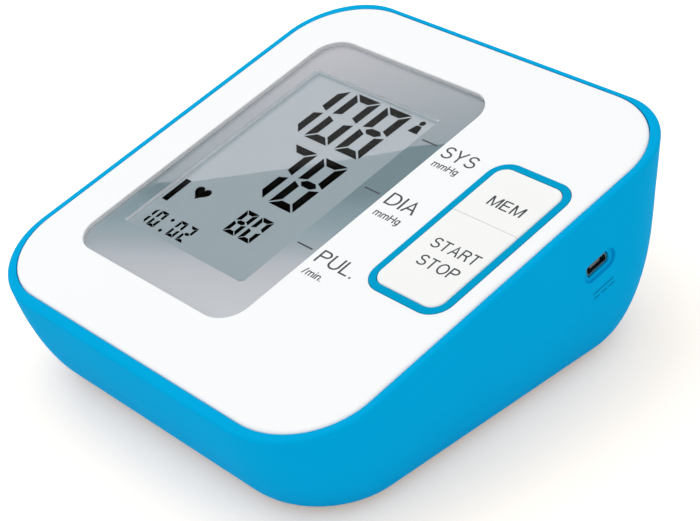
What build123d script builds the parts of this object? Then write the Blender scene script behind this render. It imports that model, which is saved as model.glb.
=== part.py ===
from build123d import *
import os
from math import cos, radians, sin, sqrt, tan

os.makedirs("parts", exist_ok=True)

# Upper-arm blood pressure monitor, in millimetres. +X is to the user's right, +Y to the back and +Z up.
# The origin is on the table, under the middle of the casing.
# "Depth" is measured down from the white top panel's face, at right angles to it.

# ---- driving dimensions -------------------------------------------------------------------------

# Casing
tilt = 11.5                  # slope of the top face, degrees
base_width = 135.0           # between the side walls, where they would meet the bottom
base_depth = 134.3           # between the front and back walls, there
base_shift = -0.4            # middle of the bottom, behind the origin
mid_height = 44.65           # top face above the shell's bottom, at the panel's middle
side_draft = 0.3             # the walls lean out as they rise, degrees
front_draft = 6.3
back_draft = 4.2
curve_height = 31.7          # the walls curve in towards the bottom, from this height down
curve_width = 11.1           # and by this much
curve_steps = 6
wall_steps = 7               # sections above the curve
corner_low_r = 30.2          # the corners get tighter as the walls rise
corner_top_r = 23.9
lip_r = 0.8
wall = 2.4
fit_gap = 0.15               # between pieces that are only laid together
slide_gap = 0.06             # round a piece that slides in another

# White top panel
panel_inset = 2.05           # each side, from where the side walls meet the bottom
panel_reach = 5.2            # longer than the bottom, because the front and back walls lean out
panel_shift = 0.7            # the panel's middle, behind the origin
panel_r = 22.7
panel_thick = 2.4
panel_proud = 0.5            # above the blue lip round it
panel_edge_r = 1.3
ledge_width = 1.7            # the shell's ledge that the panel lies on
ledge_thick = 2.2
skirt_thick = 1.4            # the panel's wall inside that ledge
skirt_height = 2.6

# Display
lens_width = 66.2
lens_length = 101.65
lens_inset = 14.03           # from the panel's left edge
lens_y = 1.48
lens_r = 8.2
lens_thick = 1.4
lens_drop = 0.1              # lens face below the panel's
window_left = 6.03           # the lens's printed margins round the window
window_right = 10.07
window_front = 14.1
window_back = 12.94
window_r = 1.2
window_rim = 0.9             # the panel's hole is this much wider than the window
lcd_border = 3.0             # glass past the window, on each side
lcd_thick = 2.8
lcd_depth = 2.6
gasket_gap = 0.1
holder_wall = 1.6
strip_width = 2.2
strip_length = 68.0
strip_r = 0.7

# Keys
key_inset = 18.57            # keys' middle from the panel's right edge
key_y = 7.36
bezel_width = 27.3
bezel_length = 53.9
bezel_r = 6.2
bezel_rim = 2.05
bezel_proud = 0.25
bezel_flange = 1.2
bezel_flange_thick = 1.2
key_proud = 0.7
key_split = 5.25             # the line between the keys, back from their middle
key_gap = 0.14
key_side_gap = 0.15
key_thick = 1.6
key_wall = 1.3
key_flange = 1.0
key_flange_thick = 1.0
key_edge_r = 0.9             # all round but at the split line
key_hollow_r = 0.5
key_travel = 0.6
stem_r = 2.2

# Circuit board and what it carries
board_depth = 14.4
board_thick = 1.6
board_left_gap = 11.15       # each edge, from where that wall meets the bottom
board_right_gap = 5.55
board_front = -42.5
board_back = 44.0
board_r = 1.5
board_screw_inset = 3.0
boss_r = 2.7
board_screw_r = 1.0
board_screw_length = 7.0
board_head_r = 2.1
board_head_height = 1.4
switch_size = 6.0
switch_height = 3.6
plunger_r = 1.7
plunger_height = 1.3
plunger_seat = 1.0
component_r = 0.5            # corners of the switches, chip and sensor
chip_size = 12.0
chip_height = 1.5
chip_x = -18.0
chip_y = -4.0
lead_count = 10
lead_pitch = 1.0
lead_width = 0.4
lead_reach = 1.2
lead_thick = 0.2
capacitor_r = 3.15
capacitor_height = 7.2
capacitor_inset = 16.0       # from the board's right edge
capacitor_y = 4.0
capacitor_pitch = 9.0
buzzer_r = 6.0
buzzer_height = 6.8
buzzer_inset = 15.0
buzzer_y = -20.0
buzzer_port_r = 1.0

# Micro-USB inlet
usb_y = 28.73
usb_width = 7.6
usb_height = 2.6
usb_length = 5.4
usb_metal = 0.3
usb_corner_r = 0.7
usb_gap = 0.45               # round it in the slot through the wall
usb_setback = 0.4            # mouth behind the recess's floor
usb_tab_width = 12.0         # the board's tab that carries it
usb_tab_gap = 0.3
tongue_width = 3.8
tongue_thick = 0.65
recess_length = 12.0
recess_height = 5.8
recess_deep = 0.8

# Battery bay and door
cell_r = 7.1
cell_length = 50.2
cell_pitch = 14.8
cell_count = 4
nub_r = 2.7
nub_height = 1.3
cell_edge_r = 0.6
bay_y = -10.0
bay_side_gap = 0.5
bay_roof = 1.6
bay_wall = 1.6
door_thick = 2.0
door_ledge = 1.7
door_gap = 0.2
door_r = 2.0
cell_gap = 0.5               # between the door or the roof and the cells
door_swing_gap = 0.3
tongue_span = 34.0
door_tongue_width = 7.0
door_tongue_thick = 1.2
door_tongue_reach = 2.6
latch_width = 13.0
latch_leaf = 1.1
latch_height = 5.5
latch_room = 2.4
latch_gap = 0.8
finger_room = 2.8            # in the shell behind the latch
grip_count = 5
grip_pitch = 2.2
grip_width = 22.0
grip_deep = 0.5
grip_r = 0.7
spring_room = 3.8
spring_wire = 0.55
spring_turns = 3
spring_r = 4.4
spring_cone = 18.0
plate_thick = 0.4
plate_height = 11.0
plate_edge = 1.2
tab_width = 3.0
tab_rise = 2.4

# Feet and case screws
foot_height = 1.5
foot_r = 4.8
foot_sink = 0.8
foot_edge_r = 0.4
foot_x = 41.0
foot_front_y = -42.0
foot_back_y = 34.0
pillar_front_x = 30.0
pillar_front_y = -48.0
pillar_back_x = 36.0
pillar_back_y = 51.0
pillar_r = 4.2
pillar_front_top = 19.0
pillar_back_top = 31.0
pillar_web = 3.0
screw_r = 1.5
screw_hole_r = 1.7
screw_length = 11.0
screw_head_r = 2.8
screw_head_height = 2.0
screw_well_r = 3.2
cross_width = 0.7
cross_deep = 1.0

# Air pump, valve, sensor and tubes
pump_y = 41.0
motor_r = 12.0
motor_length = 31.0
motor_boss_r = 5.0
motor_boss_height = 1.6
motor_right = 29.0
head_r = 13.0
head_length = 23.0
head_edge_r = 1.2
head_band = 1.0
head_band_count = 3
band_pitch = 6.0
nozzle_length = 6.0
sleeve_thick = 1.4
sleeve_length = 21.0
cradle_thick = 2.0
cradle_span = 14.0
tube_r = 2.5
tube_bore_r = 1.6
barb_r = 1.56
air_bore_r = 0.8
air_x = -39.8                # the manifold
air_y = 22.5
manifold_size = 7.0
barb_length = 3.0
elbow_r = 8.5
lean_run = 1.2
lean_r = 5.0
socket_r = 4.5
socket_bore_r = 2.5
socket_deep = 10.0
socket_flange_r = 5.8
socket_flange_thick = 1.2
socket_sink = 1.7            # flange's face behind the wall's, which is curved there
socket_pad_rim = 1.6
socket_end = 11.0            # from the flange's face to the socket's inner end
seal_thick = 1.0
sensor_size = 9.0
sensor_height = 3.0
port_length = 3.0
valve_width = 14.0
valve_length = 19.0
valve_front = -30.0
valve_frame_thick = 1.2
valve_shelf = 2.0            # under the valve, over the floor
valve_shelf_thick = 1.4
coil_gap = 0.4
valve_tube_drop = 5.0
valve_bend_r = 3.0

# Wires
wire_r = 0.65
wire_bend = 3.0
wire_run = 6.5               # from the motor's end to where a lead rises
terminal_reach = 7.0         # from the motor's axis

# ---- places worked out from them ----------------------------------------------------------------

slope = radians(tilt)
top = Plane(origin=(0, panel_shift, foot_height + mid_height), x_dir=(1, 0, 0),
            z_dir=(0, -sin(slope), cos(slope)))
shell_floor = foot_height + wall
base_front = base_shift - base_depth / 2
base_back = base_shift + base_depth / 2
block_height = mid_height + base_depth * tan(slope)

panel_width = base_width - 2 * panel_inset
panel_length = base_depth + panel_reach
lens_x = -panel_width / 2 + lens_inset + lens_width / 2
window_width = lens_width - window_left - window_right
window_length = lens_length - window_front - window_back
window_x = lens_x + (window_left - window_right) / 2
window_y = lens_y + (window_front - window_back) / 2
key_x = panel_width / 2 - key_inset
board_left = -base_width / 2 + board_left_gap
board_right = base_width / 2 - board_right_gap
capacitor_x = board_right - capacitor_inset
buzzer_x = board_right - buzzer_inset

cavity_depth = panel_thick + ledge_thick
lcd_width = window_width + 2 * lcd_border
lcd_length = window_length + 2 * lcd_border
board_bottom = board_depth + board_thick
key_width = bezel_width - 2 * bezel_rim - 2 * key_side_gap
key_length = bezel_length - 2 * bezel_rim - 2 * key_side_gap
key_r = bezel_r - bezel_rim - key_side_gap
bezel_bottom = panel_thick + fit_gap + bezel_flange_thick
key_flange_top = bezel_bottom + fit_gap
key_bottom = key_flange_top + key_flange_thick
switch_top = board_depth - switch_height
stem_end = switch_top - plunger_height
mem_key_y = key_y + (key_split + key_length / 2) / 2
start_key_y = key_y + (key_split - key_length / 2) / 2
usb_depth = board_bottom + usb_height / 2

bay_width = cell_count * cell_pitch + bay_side_gap
bay_length = cell_length + spring_room + 2 * plate_thick + 2 * fit_gap
bay_front = bay_y - bay_length / 2
bay_back = bay_y + bay_length / 2
door_inside = foot_height + door_thick
cell_z = door_inside + cell_gap + cell_r
bay_ceiling = cell_z + cell_r + cell_gap
bay_top = bay_ceiling + bay_roof
door_width = bay_width + 2 * door_ledge
door_front = bay_front - door_ledge
latch_front = bay_back + bay_wall + latch_gap
latch_back = latch_front + 2 * latch_leaf + latch_room
door_back = latch_back + door_gap
door_length = door_back - door_front
door_y = (door_front + door_back) / 2
latch_top = door_inside + latch_height

pump_z = shell_floor + cradle_thick + head_r
head_right = motor_right - motor_length
head_left = head_right - head_length
air_z = pump_z
valve_x = -door_width / 2 - 2 * bay_wall - 2 * fit_gap - valve_width / 2
valve_low = shell_floor + valve_shelf
valve_z = valve_low + valve_width / 2
valve_back = valve_front + valve_length


def level(depth):
    """The plane parallel to the panel's face, this far below it."""
    return top.offset(-depth)


def on_top(x, y, depth):
    """The point at x and y on the panel, this far below its face."""
    return top.from_local_coords(Vector(x, y, -depth))


def side_x(height):
    """Half the casing's width at this height above the shell's bottom."""
    rise = max(0, 1 - height / curve_height)
    return base_width / 2 + height * tan(radians(side_draft)) - curve_width * (1 - sqrt(1 - rise**2))


def wall_sections(inset):
    """The heights to draw the walls at, each with how far they curve in there."""
    sections = []
    for step in range(curve_steps + 1):
        angle = radians(90) * step / curve_steps
        height = inset + (curve_height - inset) * (1 - cos(angle))
        sections.append((height, (curve_width - inset) * (1 - sin(angle))))
    for step in range(1, wall_steps + 1):
        sections.append((curve_height + (block_height - curve_height) * step / wall_steps, 0))
    return sections


def tapered_block(inset, top_depth):
    """The casing's outer form, or one that lies inside it by inset, cut off at top_depth."""
    with BuildPart() as block:
        for height, curve in wall_sections(inset):
            inwards = inset + curve
            half = base_width / 2 + height * tan(radians(side_draft)) - inwards
            front = base_front - height * tan(radians(front_draft)) + inwards
            back = base_back + height * tan(radians(back_draft)) - inwards
            corner = corner_low_r - (corner_low_r - corner_top_r) * height / mid_height - inwards
            with BuildSketch(Plane.XY.offset(foot_height + height)):
                with Locations((0, (front + back) / 2)):
                    RectangleRounded(2 * half, back - front, corner)
        loft()
        split(bisect_by=level(top_depth), keep=Keep.BOTTOM)
    return block.part


def upper_face(part):
    """The part's highest face parallel to the panel."""
    upwards = Axis(origin=(0, 0, 0), direction=top.z_dir)
    return part.faces().filter_by(upwards).sort_by(upwards)[-1]


def plate(depth, thick, width, length, radius, x=0, y=0):
    """A rounded plate parallel to the panel, with its upper face at depth."""
    with BuildPart() as body:
        with BuildSketch(level(depth)):
            with Locations((x, y)):
                RectangleRounded(width, length, radius)
        extrude(amount=-thick)
    return body.part


def post(x, y, depth, thick, radius):
    """A round post at right angles to the panel, with its upper end at depth."""
    with BuildPart() as body:
        with BuildSketch(level(depth)):
            with Locations((x, y)):
                Circle(radius)
        extrude(amount=-thick)
    return body.part


def upright(x, y, low, high, radius):
    """A vertical round post from low to high."""
    with BuildPart() as body:
        with BuildSketch(Plane.XY.offset(low)):
            with Locations((x, y)):
                Circle(radius)
        extrude(amount=high - low)
    return body.part


def box(x_low, x_high, y_low, y_high, z_low, z_high):
    """A box between these limits."""
    with BuildPart() as body:
        with BuildSketch(Plane.XY.offset(z_low)):
            with Locations(((x_low + x_high) / 2, (y_low + y_high) / 2)):
                Rectangle(x_high - x_low, y_high - y_low)
        extrude(amount=z_high - z_low)
    return body.part


def rod(start, end, radius):
    """A round rod between two points."""
    axis = Vector(*end) - Vector(*start)
    with BuildPart() as body:
        with BuildSketch(Plane(origin=start, z_dir=axis)):
            Circle(radius)
        extrude(amount=axis.length)
    return body.part


def pipe(points, bend, radius, bore_r=0):
    """A round tube or wire along straight runs joined by tangent arcs."""
    with BuildPart() as body:
        with BuildLine() as route:
            if len(points) > 2:
                FilletPolyline(*points, radius=bend)
            else:
                Line(*points)
        with BuildSketch(Plane(origin=route.line @ 0, z_dir=route.line % 0)):
            Circle(radius)
            if bore_r:
                Circle(bore_r, mode=Mode.SUBTRACT)
        sweep(path=route.line)
    return body.part


def cell_x(number):
    """The middle of a cell, counted from the left."""
    return (number - (cell_count - 1) / 2) * cell_pitch


def save(name, part):
    """Name the finished piece and write its file."""
    part.label = name
    export_step(part, f"parts/{name}.step")


# ---- casing -------------------------------------------------------------------------------------

case_posts = [(x, pillar_front_y, pillar_front_top) for x in (-pillar_front_x, pillar_front_x)]
case_posts += [(x, pillar_back_y, pillar_back_top) for x in (-pillar_back_x, pillar_back_x)]
foot_places = [(x, y) for x in (-foot_x, foot_x) for y in (foot_front_y, foot_back_y)]
board_posts = [
    (x, y)
    for x in (board_left + board_screw_inset, board_right - board_screw_inset)
    for y in (board_front + board_screw_inset, board_back - board_screw_inset)
]
door_tongues = [-tongue_span / 2, tongue_span / 2]
usb_wall_x = side_x(on_top(0, usb_y, usb_depth).Z - foot_height)
inlet = Plane(origin=on_top(0, usb_y, usb_depth), x_dir=(0, cos(slope), sin(slope)), z_dir=(1, 0, 0))
socket_face_x = side_x(air_z - foot_height) - socket_sink
cradles = [head_right + sleeve_thick, head_right + sleeve_thick + cradle_span]

with BuildPart() as lower_shell:
    add(tapered_block(0, panel_proud))
    fillet(upper_face(lower_shell).edges(), lip_r)
    add(tapered_block(wall, cavity_depth), mode=Mode.SUBTRACT)
    add(plate(panel_proud, panel_thick - panel_proud, panel_width + 2 * fit_gap,
              panel_length + 2 * fit_gap, panel_r + fit_gap), mode=Mode.SUBTRACT)
    add(plate(panel_thick, 2 * ledge_thick, panel_width - 2 * ledge_width,
              panel_length - 2 * ledge_width, panel_r - ledge_width), mode=Mode.SUBTRACT)
    # battery bay, opening downwards, with the door's seat round its mouth
    add(box(-door_width / 2 - bay_wall, door_width / 2 + bay_wall, door_front - bay_wall,
            bay_back + bay_wall, foot_height + wall / 2, bay_top))
    add(box(-door_width / 2 - bay_wall, door_width / 2 + bay_wall, bay_back, door_back + bay_wall,
            foot_height + wall / 2, door_inside + bay_wall))
    latch_side = latch_width / 2 + door_swing_gap
    add(box(-latch_side - bay_wall, latch_side + bay_wall, bay_back, latch_back + finger_room + bay_wall,
            foot_height + wall / 2, latch_top + door_swing_gap + bay_wall))
    add(box(-bay_width / 2, bay_width / 2, bay_front, bay_back, 0, bay_ceiling), mode=Mode.SUBTRACT)
    with BuildSketch(Plane.XY):
        with Locations((0, door_y)):
            RectangleRounded(door_width + 2 * door_gap, door_length + 2 * door_gap, door_r + door_gap)
    extrude(amount=door_inside + fit_gap, mode=Mode.SUBTRACT)
    for x in door_tongues:
        half = door_tongue_width / 2 + door_swing_gap
        reach = door_tongue_reach + door_swing_gap + door_gap
        add(box(x - half, x + half, door_front - reach - bay_wall, door_front, shell_floor,
                shell_floor + 2 * door_tongue_reach), mode=Mode.SUBTRACT)
        add(box(x - half, x + half, door_front - door_gap, bay_front, foot_height,
                shell_floor + 2 * door_tongue_reach), mode=Mode.SUBTRACT)
    add(box(-latch_side, latch_side, bay_back + bay_wall, latch_back + finger_room, 0,
            latch_top + door_swing_gap), mode=Mode.SUBTRACT)
    for x in (cell_x(0), cell_x(cell_count - 1)):
        add(box(x - tab_width / 2 - fit_gap, x + tab_width / 2 + fit_gap,
                bay_back - plate_thick - 2 * fit_gap, bay_back, bay_ceiling, bay_top), mode=Mode.SUBTRACT)
    # screw pillars, each with its well from below
    outer_form = tapered_block(0, panel_proud)
    for x, y, high in case_posts:
        add(upright(x, y, foot_height, high, pillar_r) & outer_form)
    for x, y, high in case_posts:
        add(upright(x, y, 0, high - pillar_web, screw_well_r), mode=Mode.SUBTRACT)
        add(upright(x, y, 0, high, screw_hole_r), mode=Mode.SUBTRACT)
    for x, y in foot_places:
        add(upright(x, y, 0, foot_height + foot_sink, foot_r), mode=Mode.SUBTRACT)
    # cradle plates that the pump lies in
    for x in cradles:
        seat = box(x, x + cradle_thick, pump_y - head_r, pump_y + head_r, shell_floor, pump_z)
        seat = seat & tapered_block(wall, cavity_depth)
        add(seat - rod((x - wall, pump_y, pump_z), (x + cradle_thick + wall, pump_y, pump_z),
                       motor_r + sleeve_thick))
    # walls either side of the valve, with its shelf between them
    valve_bed = valve_width / 2 + fit_gap
    for x in (valve_x - valve_bed - bay_wall, valve_x + valve_bed):
        guide = box(x, x + bay_wall, valve_front, valve_back, shell_floor, valve_z)
        add(guide & tapered_block(wall, cavity_depth))
    add(box(valve_x - valve_bed, valve_x + valve_bed, valve_front, valve_back,
            valve_low - valve_shelf_thick, valve_low) & tapered_block(wall, cavity_depth))
    # inlet on the right wall: a shallow recess and the slot through it
    with BuildSketch(inlet.offset(usb_wall_x - recess_deep)):
        SlotOverall(recess_length, recess_height)
    extrude(amount=2 * recess_deep, mode=Mode.SUBTRACT)
    with BuildSketch(inlet.offset(usb_wall_x - 2 * wall)):
        RectangleRounded(usb_width + 2 * usb_gap, usb_height + 2 * usb_gap, usb_corner_r + usb_gap)
    extrude(amount=3 * wall, mode=Mode.SUBTRACT)
    # air socket's seat on the left wall
    socket_seat_x = -socket_face_x + socket_flange_thick
    socket_out_x = -socket_face_x - 2 * wall
    pad = rod((socket_out_x, air_y, air_z), (socket_seat_x + wall, air_y, air_z),
              socket_flange_r + socket_pad_rim)
    add(pad & outer_form)
    add(rod((socket_out_x, air_y, air_z), (socket_seat_x, air_y, air_z), socket_flange_r + fit_gap),
        mode=Mode.SUBTRACT)
    add(rod((socket_out_x, air_y, air_z), (socket_seat_x + 2 * wall, air_y, air_z), socket_r + fit_gap),
        mode=Mode.SUBTRACT)
save("lower_shell", lower_shell.part)

with BuildPart() as top_panel:
    add(plate(0, panel_thick, panel_width, panel_length, panel_r))
    fillet(upper_face(top_panel).edges(), panel_edge_r)
    inset = ledge_width + fit_gap
    ring = plate(panel_thick, skirt_height, panel_width - 2 * inset, panel_length - 2 * inset,
                 panel_r - inset)
    inset = inset + skirt_thick
    add(ring - plate(panel_thick, skirt_height, panel_width - 2 * inset, panel_length - 2 * inset,
                     panel_r - inset))
    add(plate(0, lens_drop + lens_thick, lens_width + 2 * fit_gap, lens_length + 2 * fit_gap,
              lens_r + fit_gap, lens_x, lens_y), mode=Mode.SUBTRACT)
    add(plate(0, panel_thick, window_width + 2 * window_rim, window_length + 2 * window_rim,
              window_r + window_rim, window_x, window_y), mode=Mode.SUBTRACT)
    add(plate(0, panel_thick, bezel_width + 2 * fit_gap, bezel_length + 2 * fit_gap,
              bezel_r + fit_gap, key_x, key_y), mode=Mode.SUBTRACT)
    for x, y in board_posts:
        add(post(x, y, panel_thick, board_depth - panel_thick, boss_r))
        add(post(x, y, board_bottom - board_screw_length, board_screw_length, board_screw_r),
            mode=Mode.SUBTRACT)
    for x, y, low in case_posts:
        with BuildPart() as boss:
            add(upright(x, y, low, foot_height + block_height, pillar_r - fit_gap))
            split(bisect_by=level(panel_thick), keep=Keep.BOTTOM)
            add(upright(x, y, low, low + screw_length - pillar_web, screw_r), mode=Mode.SUBTRACT)
        add(boss.part)
save("top_panel", top_panel.part)

with BuildPart() as case_screws:
    for x, y, high in case_posts:
        seat = high - pillar_web
        add(upright(x, y, seat - screw_head_height, seat, screw_head_r))
        add(upright(x, y, seat, seat + screw_length, screw_r))
        for turn in (0, 90):
            with BuildSketch(Plane.XY.offset(seat - screw_head_height)):
                with Locations((x, y)):
                    Rectangle(2 * (screw_head_r - cross_width), cross_width, rotation=turn)
            extrude(amount=cross_deep, mode=Mode.SUBTRACT)
save("case_screws", case_screws.part)

with BuildPart() as feet:
    for x, y in foot_places:
        add(upright(x, y, 0, foot_height + foot_sink, foot_r))
    fillet(feet.faces().group_by(Axis.Z)[0].edges(), foot_edge_r)
save("feet", feet.part)

# ---- display ------------------------------------------------------------------------------------

with BuildPart() as display_lens:
    add(plate(lens_drop, lens_thick, lens_width, lens_length, lens_r, lens_x, lens_y))
save("display_lens", display_lens.part)

lens_bottom = lens_drop + lens_thick
with BuildPart() as lcd_gasket:
    rim = window_rim - gasket_gap
    add(plate(lens_bottom, lcd_depth - lens_bottom, window_width + 2 * rim, window_length + 2 * rim,
              window_r + rim, window_x, window_y))
    add(plate(lens_bottom, lcd_depth - lens_bottom, window_width, window_length, window_r, window_x,
              window_y), mode=Mode.SUBTRACT)
save("lcd_gasket", lcd_gasket.part)

lcd_glass = plate(lcd_depth, lcd_thick, lcd_width, lcd_length, window_r, window_x, window_y)
save("lcd_glass", lcd_glass)

holder_top = panel_thick + fit_gap
holder_width = lcd_width + 2 * fit_gap + 2 * holder_wall
holder_length = lcd_length + 2 * fit_gap + 2 * holder_wall
strip_x = window_width / 2 + lcd_border - holder_wall - strip_width / 2
strip_top = lcd_depth + lcd_thick
with BuildPart() as lcd_holder:
    add(plate(holder_top, board_depth - holder_top, holder_width, holder_length, window_r + holder_wall,
              window_x, window_y))
    add(plate(holder_top, strip_top + fit_gap - holder_top, lcd_width + 2 * fit_gap,
              lcd_length + 2 * fit_gap, window_r, window_x, window_y), mode=Mode.SUBTRACT)
    add(plate(holder_top, board_depth - holder_top, 2 * strip_x - strip_width - 2 * holder_wall,
              window_length, window_r, window_x, window_y), mode=Mode.SUBTRACT)
    for side in (-1, 1):
        add(plate(holder_top, board_depth - holder_top, strip_width + 2 * slide_gap,
                  strip_length + 2 * slide_gap, strip_r + slide_gap, window_x + side * strip_x, window_y),
            mode=Mode.SUBTRACT)
save("lcd_holder", lcd_holder.part)

with BuildPart() as zebra_strips:
    for side in (-1, 1):
        add(plate(strip_top, board_depth - strip_top, strip_width, strip_length, strip_r,
                  window_x + side * strip_x, window_y))
save("zebra_strips", zebra_strips.part)

# ---- keys ---------------------------------------------------------------------------------------

with BuildPart() as key_bezel:
    add(plate(-bezel_proud, bezel_bottom + bezel_proud, bezel_width, bezel_length, bezel_r, key_x, key_y))
    fillet(upper_face(key_bezel).edges(), bezel_proud)
    add(plate(panel_thick + fit_gap, bezel_flange_thick, bezel_width + 2 * bezel_flange,
              bezel_length + 2 * bezel_flange, bezel_r + bezel_flange, key_x, key_y))
    opening = plate(-bezel_proud, bezel_bottom + bezel_proud, bezel_width - 2 * bezel_rim,
                    bezel_length - 2 * bezel_rim, bezel_r - bezel_rim, key_x, key_y)
    add(opening, mode=Mode.SUBTRACT)
save("key_bezel", key_bezel.part)


def key(centre_y, side):
    """A key cap; side is 1 for the one behind the split line and -1 for the one before it."""
    split_y = key_y + key_split + side * key_gap / 2
    far_y = key_y + side * (key_length / 2 + key_flange)
    length = abs(far_y - split_y)

    def half(grow, depth, thick):
        with BuildPart() as body:
            with BuildSketch(level(depth)):
                with Locations((key_x, key_y)):
                    RectangleRounded(key_width + 2 * grow, key_length + 2 * grow, key_r + grow)
                with Locations((key_x, (split_y + far_y) / 2)):
                    Rectangle(2 * key_width, length, mode=Mode.INTERSECT)
            extrude(amount=-thick)
        return body.part

    with BuildPart() as cap:
        add(half(0, -key_proud, key_bottom + key_proud))
        outer = [e for e in upper_face(cap).edges()
                 if abs(top.to_local_coords(e.center()).Y - split_y) > key_gap]
        fillet(outer, key_edge_r)
        add(half(key_flange, key_flange_top, key_flange_thick))
        inner_length = abs(split_y - key_y - side * key_length / 2) - 2 * key_wall
        add(plate(key_thick - key_proud, key_bottom, key_width - 2 * key_wall, inner_length,
                  key_hollow_r, key_x, centre_y), mode=Mode.SUBTRACT)
        roof = key_thick - key_proud
        add(post(key_x, centre_y, roof, stem_end - roof, stem_r))
        for width, depth_y in ((key_width - key_wall, key_wall), (key_wall, inner_length + key_wall)):
            with BuildSketch(level(roof)):
                with Locations((key_x, centre_y)):
                    Rectangle(width, depth_y)
            extrude(amount=-(key_flange_top - roof))
    return cap.part


save("mem_key", key(mem_key_y, 1))
save("start_stop_key", key(start_key_y, -1))

plunger_length = plunger_height + plunger_seat
save("mem_plunger", post(key_x, mem_key_y, stem_end, plunger_length, plunger_r))
save("start_stop_plunger", post(key_x, start_key_y, stem_end, plunger_length, plunger_r))

with BuildPart() as key_switches:
    for y in (mem_key_y, start_key_y):
        add(plate(switch_top, switch_height, switch_size, switch_size, component_r, key_x, y))
        add(post(key_x, y, switch_top, plunger_seat + key_travel + fit_gap, plunger_r + slide_gap),
            mode=Mode.SUBTRACT)
save("key_switches", key_switches.part)

# ---- circuit board ------------------------------------------------------------------------------

board_x = (board_left + board_right) / 2
board_y = (board_front + board_back) / 2
tab_end = usb_wall_x - wall - usb_tab_gap
with BuildPart() as main_board:
    add(plate(board_depth, board_thick, board_right - board_left, board_back - board_front, board_r,
              board_x, board_y))
    with BuildSketch(level(board_depth)):
        with Locations(((board_x + tab_end) / 2, usb_y)):
            Rectangle(tab_end - board_x, usb_tab_width)
    extrude(amount=-board_thick)
    for x, y in board_posts:
        add(post(x, y, board_depth, board_thick, board_screw_r + slide_gap), mode=Mode.SUBTRACT)
save("main_board", main_board.part)

with BuildPart() as board_screws:
    for x, y in board_posts:
        add(post(x, y, board_bottom, board_head_height, board_head_r))
        add(post(x, y, board_bottom - board_screw_length, board_screw_length, board_screw_r))
save("board_screws", board_screws.part)

save("controller_chip", plate(board_bottom + lead_thick, chip_height, chip_size, chip_size,
                              component_r, chip_x, chip_y))

with BuildPart() as chip_leads:
    reach = chip_size / 2 + lead_reach / 2
    with BuildSketch(level(board_bottom)):
        for step in range(lead_count):
            along = (step - (lead_count - 1) / 2) * lead_pitch
            with Locations((chip_x - reach, chip_y + along), (chip_x + reach, chip_y + along)):
                Rectangle(lead_reach, lead_width)
            with Locations((chip_x + along, chip_y - reach), (chip_x + along, chip_y + reach)):
                Rectangle(lead_width, lead_reach)
    extrude(amount=-(lead_thick + chip_height / 2))
save("chip_leads", chip_leads.part)

with BuildPart() as capacitors:
    for step in (0, 1):
        add(post(capacitor_x, capacitor_y + step * capacitor_pitch, board_bottom, capacitor_height,
                 capacitor_r))
save("capacitors", capacitors.part)

with BuildPart() as buzzer:
    add(post(buzzer_x, buzzer_y, board_bottom, buzzer_height, buzzer_r))
    add(post(buzzer_x, buzzer_y, board_bottom + buzzer_height / 2, buzzer_height / 2, buzzer_port_r),
        mode=Mode.SUBTRACT)
save("buzzer", buzzer.part)

usb_mouth_x = usb_wall_x - recess_deep - usb_setback
with BuildPart() as usb_shell:
    with BuildSketch(inlet.offset(usb_mouth_x - usb_length)):
        RectangleRounded(usb_width, usb_height, usb_corner_r)
    extrude(amount=usb_length)
    with BuildSketch(inlet.offset(usb_mouth_x - usb_length + usb_metal)):
        RectangleRounded(usb_width - 2 * usb_metal, usb_height - 2 * usb_metal, usb_corner_r - usb_metal)
    extrude(amount=usb_length, mode=Mode.SUBTRACT)
save("usb_shell", usb_shell.part)

with BuildPart() as usb_tongue:
    with BuildSketch(inlet.offset(usb_mouth_x - usb_length + usb_metal)):
        Rectangle(tongue_width, tongue_thick)
    extrude(amount=usb_length - 3 * usb_metal)
save("usb_tongue", usb_tongue.part)

# ---- battery bay --------------------------------------------------------------------------------


def cell_turn(number):
    """1 for a cell whose nub points to the back and -1 for one that points to the front."""
    return 1 if number % 2 == 0 else -1


plate_faces = {1: bay_back - fit_gap - plate_thick, -1: bay_front + fit_gap + plate_thick}

with BuildPart() as aa_cells:
    for number in range(cell_count):
        turn = cell_turn(number)
        tip = plate_faces[turn]
        start = tip - turn * cell_length
        body_end = tip - turn * nub_height
        with BuildPart() as cell:
            add(rod((cell_x(number), start, cell_z), (cell_x(number), body_end, cell_z), cell_r))
            fillet(cell.edges(), cell_edge_r)
            add(rod((cell_x(number), body_end, cell_z), (cell_x(number), tip, cell_z), nub_r))
        add(cell.part)
save("aa_cells", aa_cells.part)

with BuildPart() as battery_springs:
    for number in range(cell_count):
        turn = cell_turn(number)
        start = plate_faces[-turn] + turn * spring_wire
        coil_height = spring_room - 2 * spring_wire
        coil = Helix(coil_height / spring_turns, coil_height, spring_r, cone_angle=-spring_cone)
        frame = Plane(origin=(cell_x(number), start, cell_z), z_dir=(0, turn, 0))
        path = frame.location * coil
        with BuildPart() as spring:
            with BuildSketch(Plane(origin=path @ 0, z_dir=path % 0)):
                Circle(spring_wire)
            sweep(path=path, is_frenet=True)
        add(spring.part)
save("battery_springs", battery_springs.part)

with BuildPart() as contact_plates:
    rows = {-1: [(0, 1), (2, 3)], 1: [(0, 0), (1, 2), (3, 3)]}
    for turn, groups in rows.items():
        near = plate_faces[turn]
        far = near + turn * plate_thick
        for first, last in groups:
            left = cell_x(first) - cell_pitch / 2 + plate_edge
            right = cell_x(last) + cell_pitch / 2 - plate_edge
            add(box(left, right, min(near, far), max(near, far), cell_z - plate_height / 2,
                    cell_z + plate_height / 2))
            if first == last:
                middle = cell_x(first)
                add(box(middle - tab_width / 2, middle + tab_width / 2, near, far,
                        cell_z + plate_height / 2, bay_top + tab_rise))
save("contact_plates", contact_plates.part)

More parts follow.
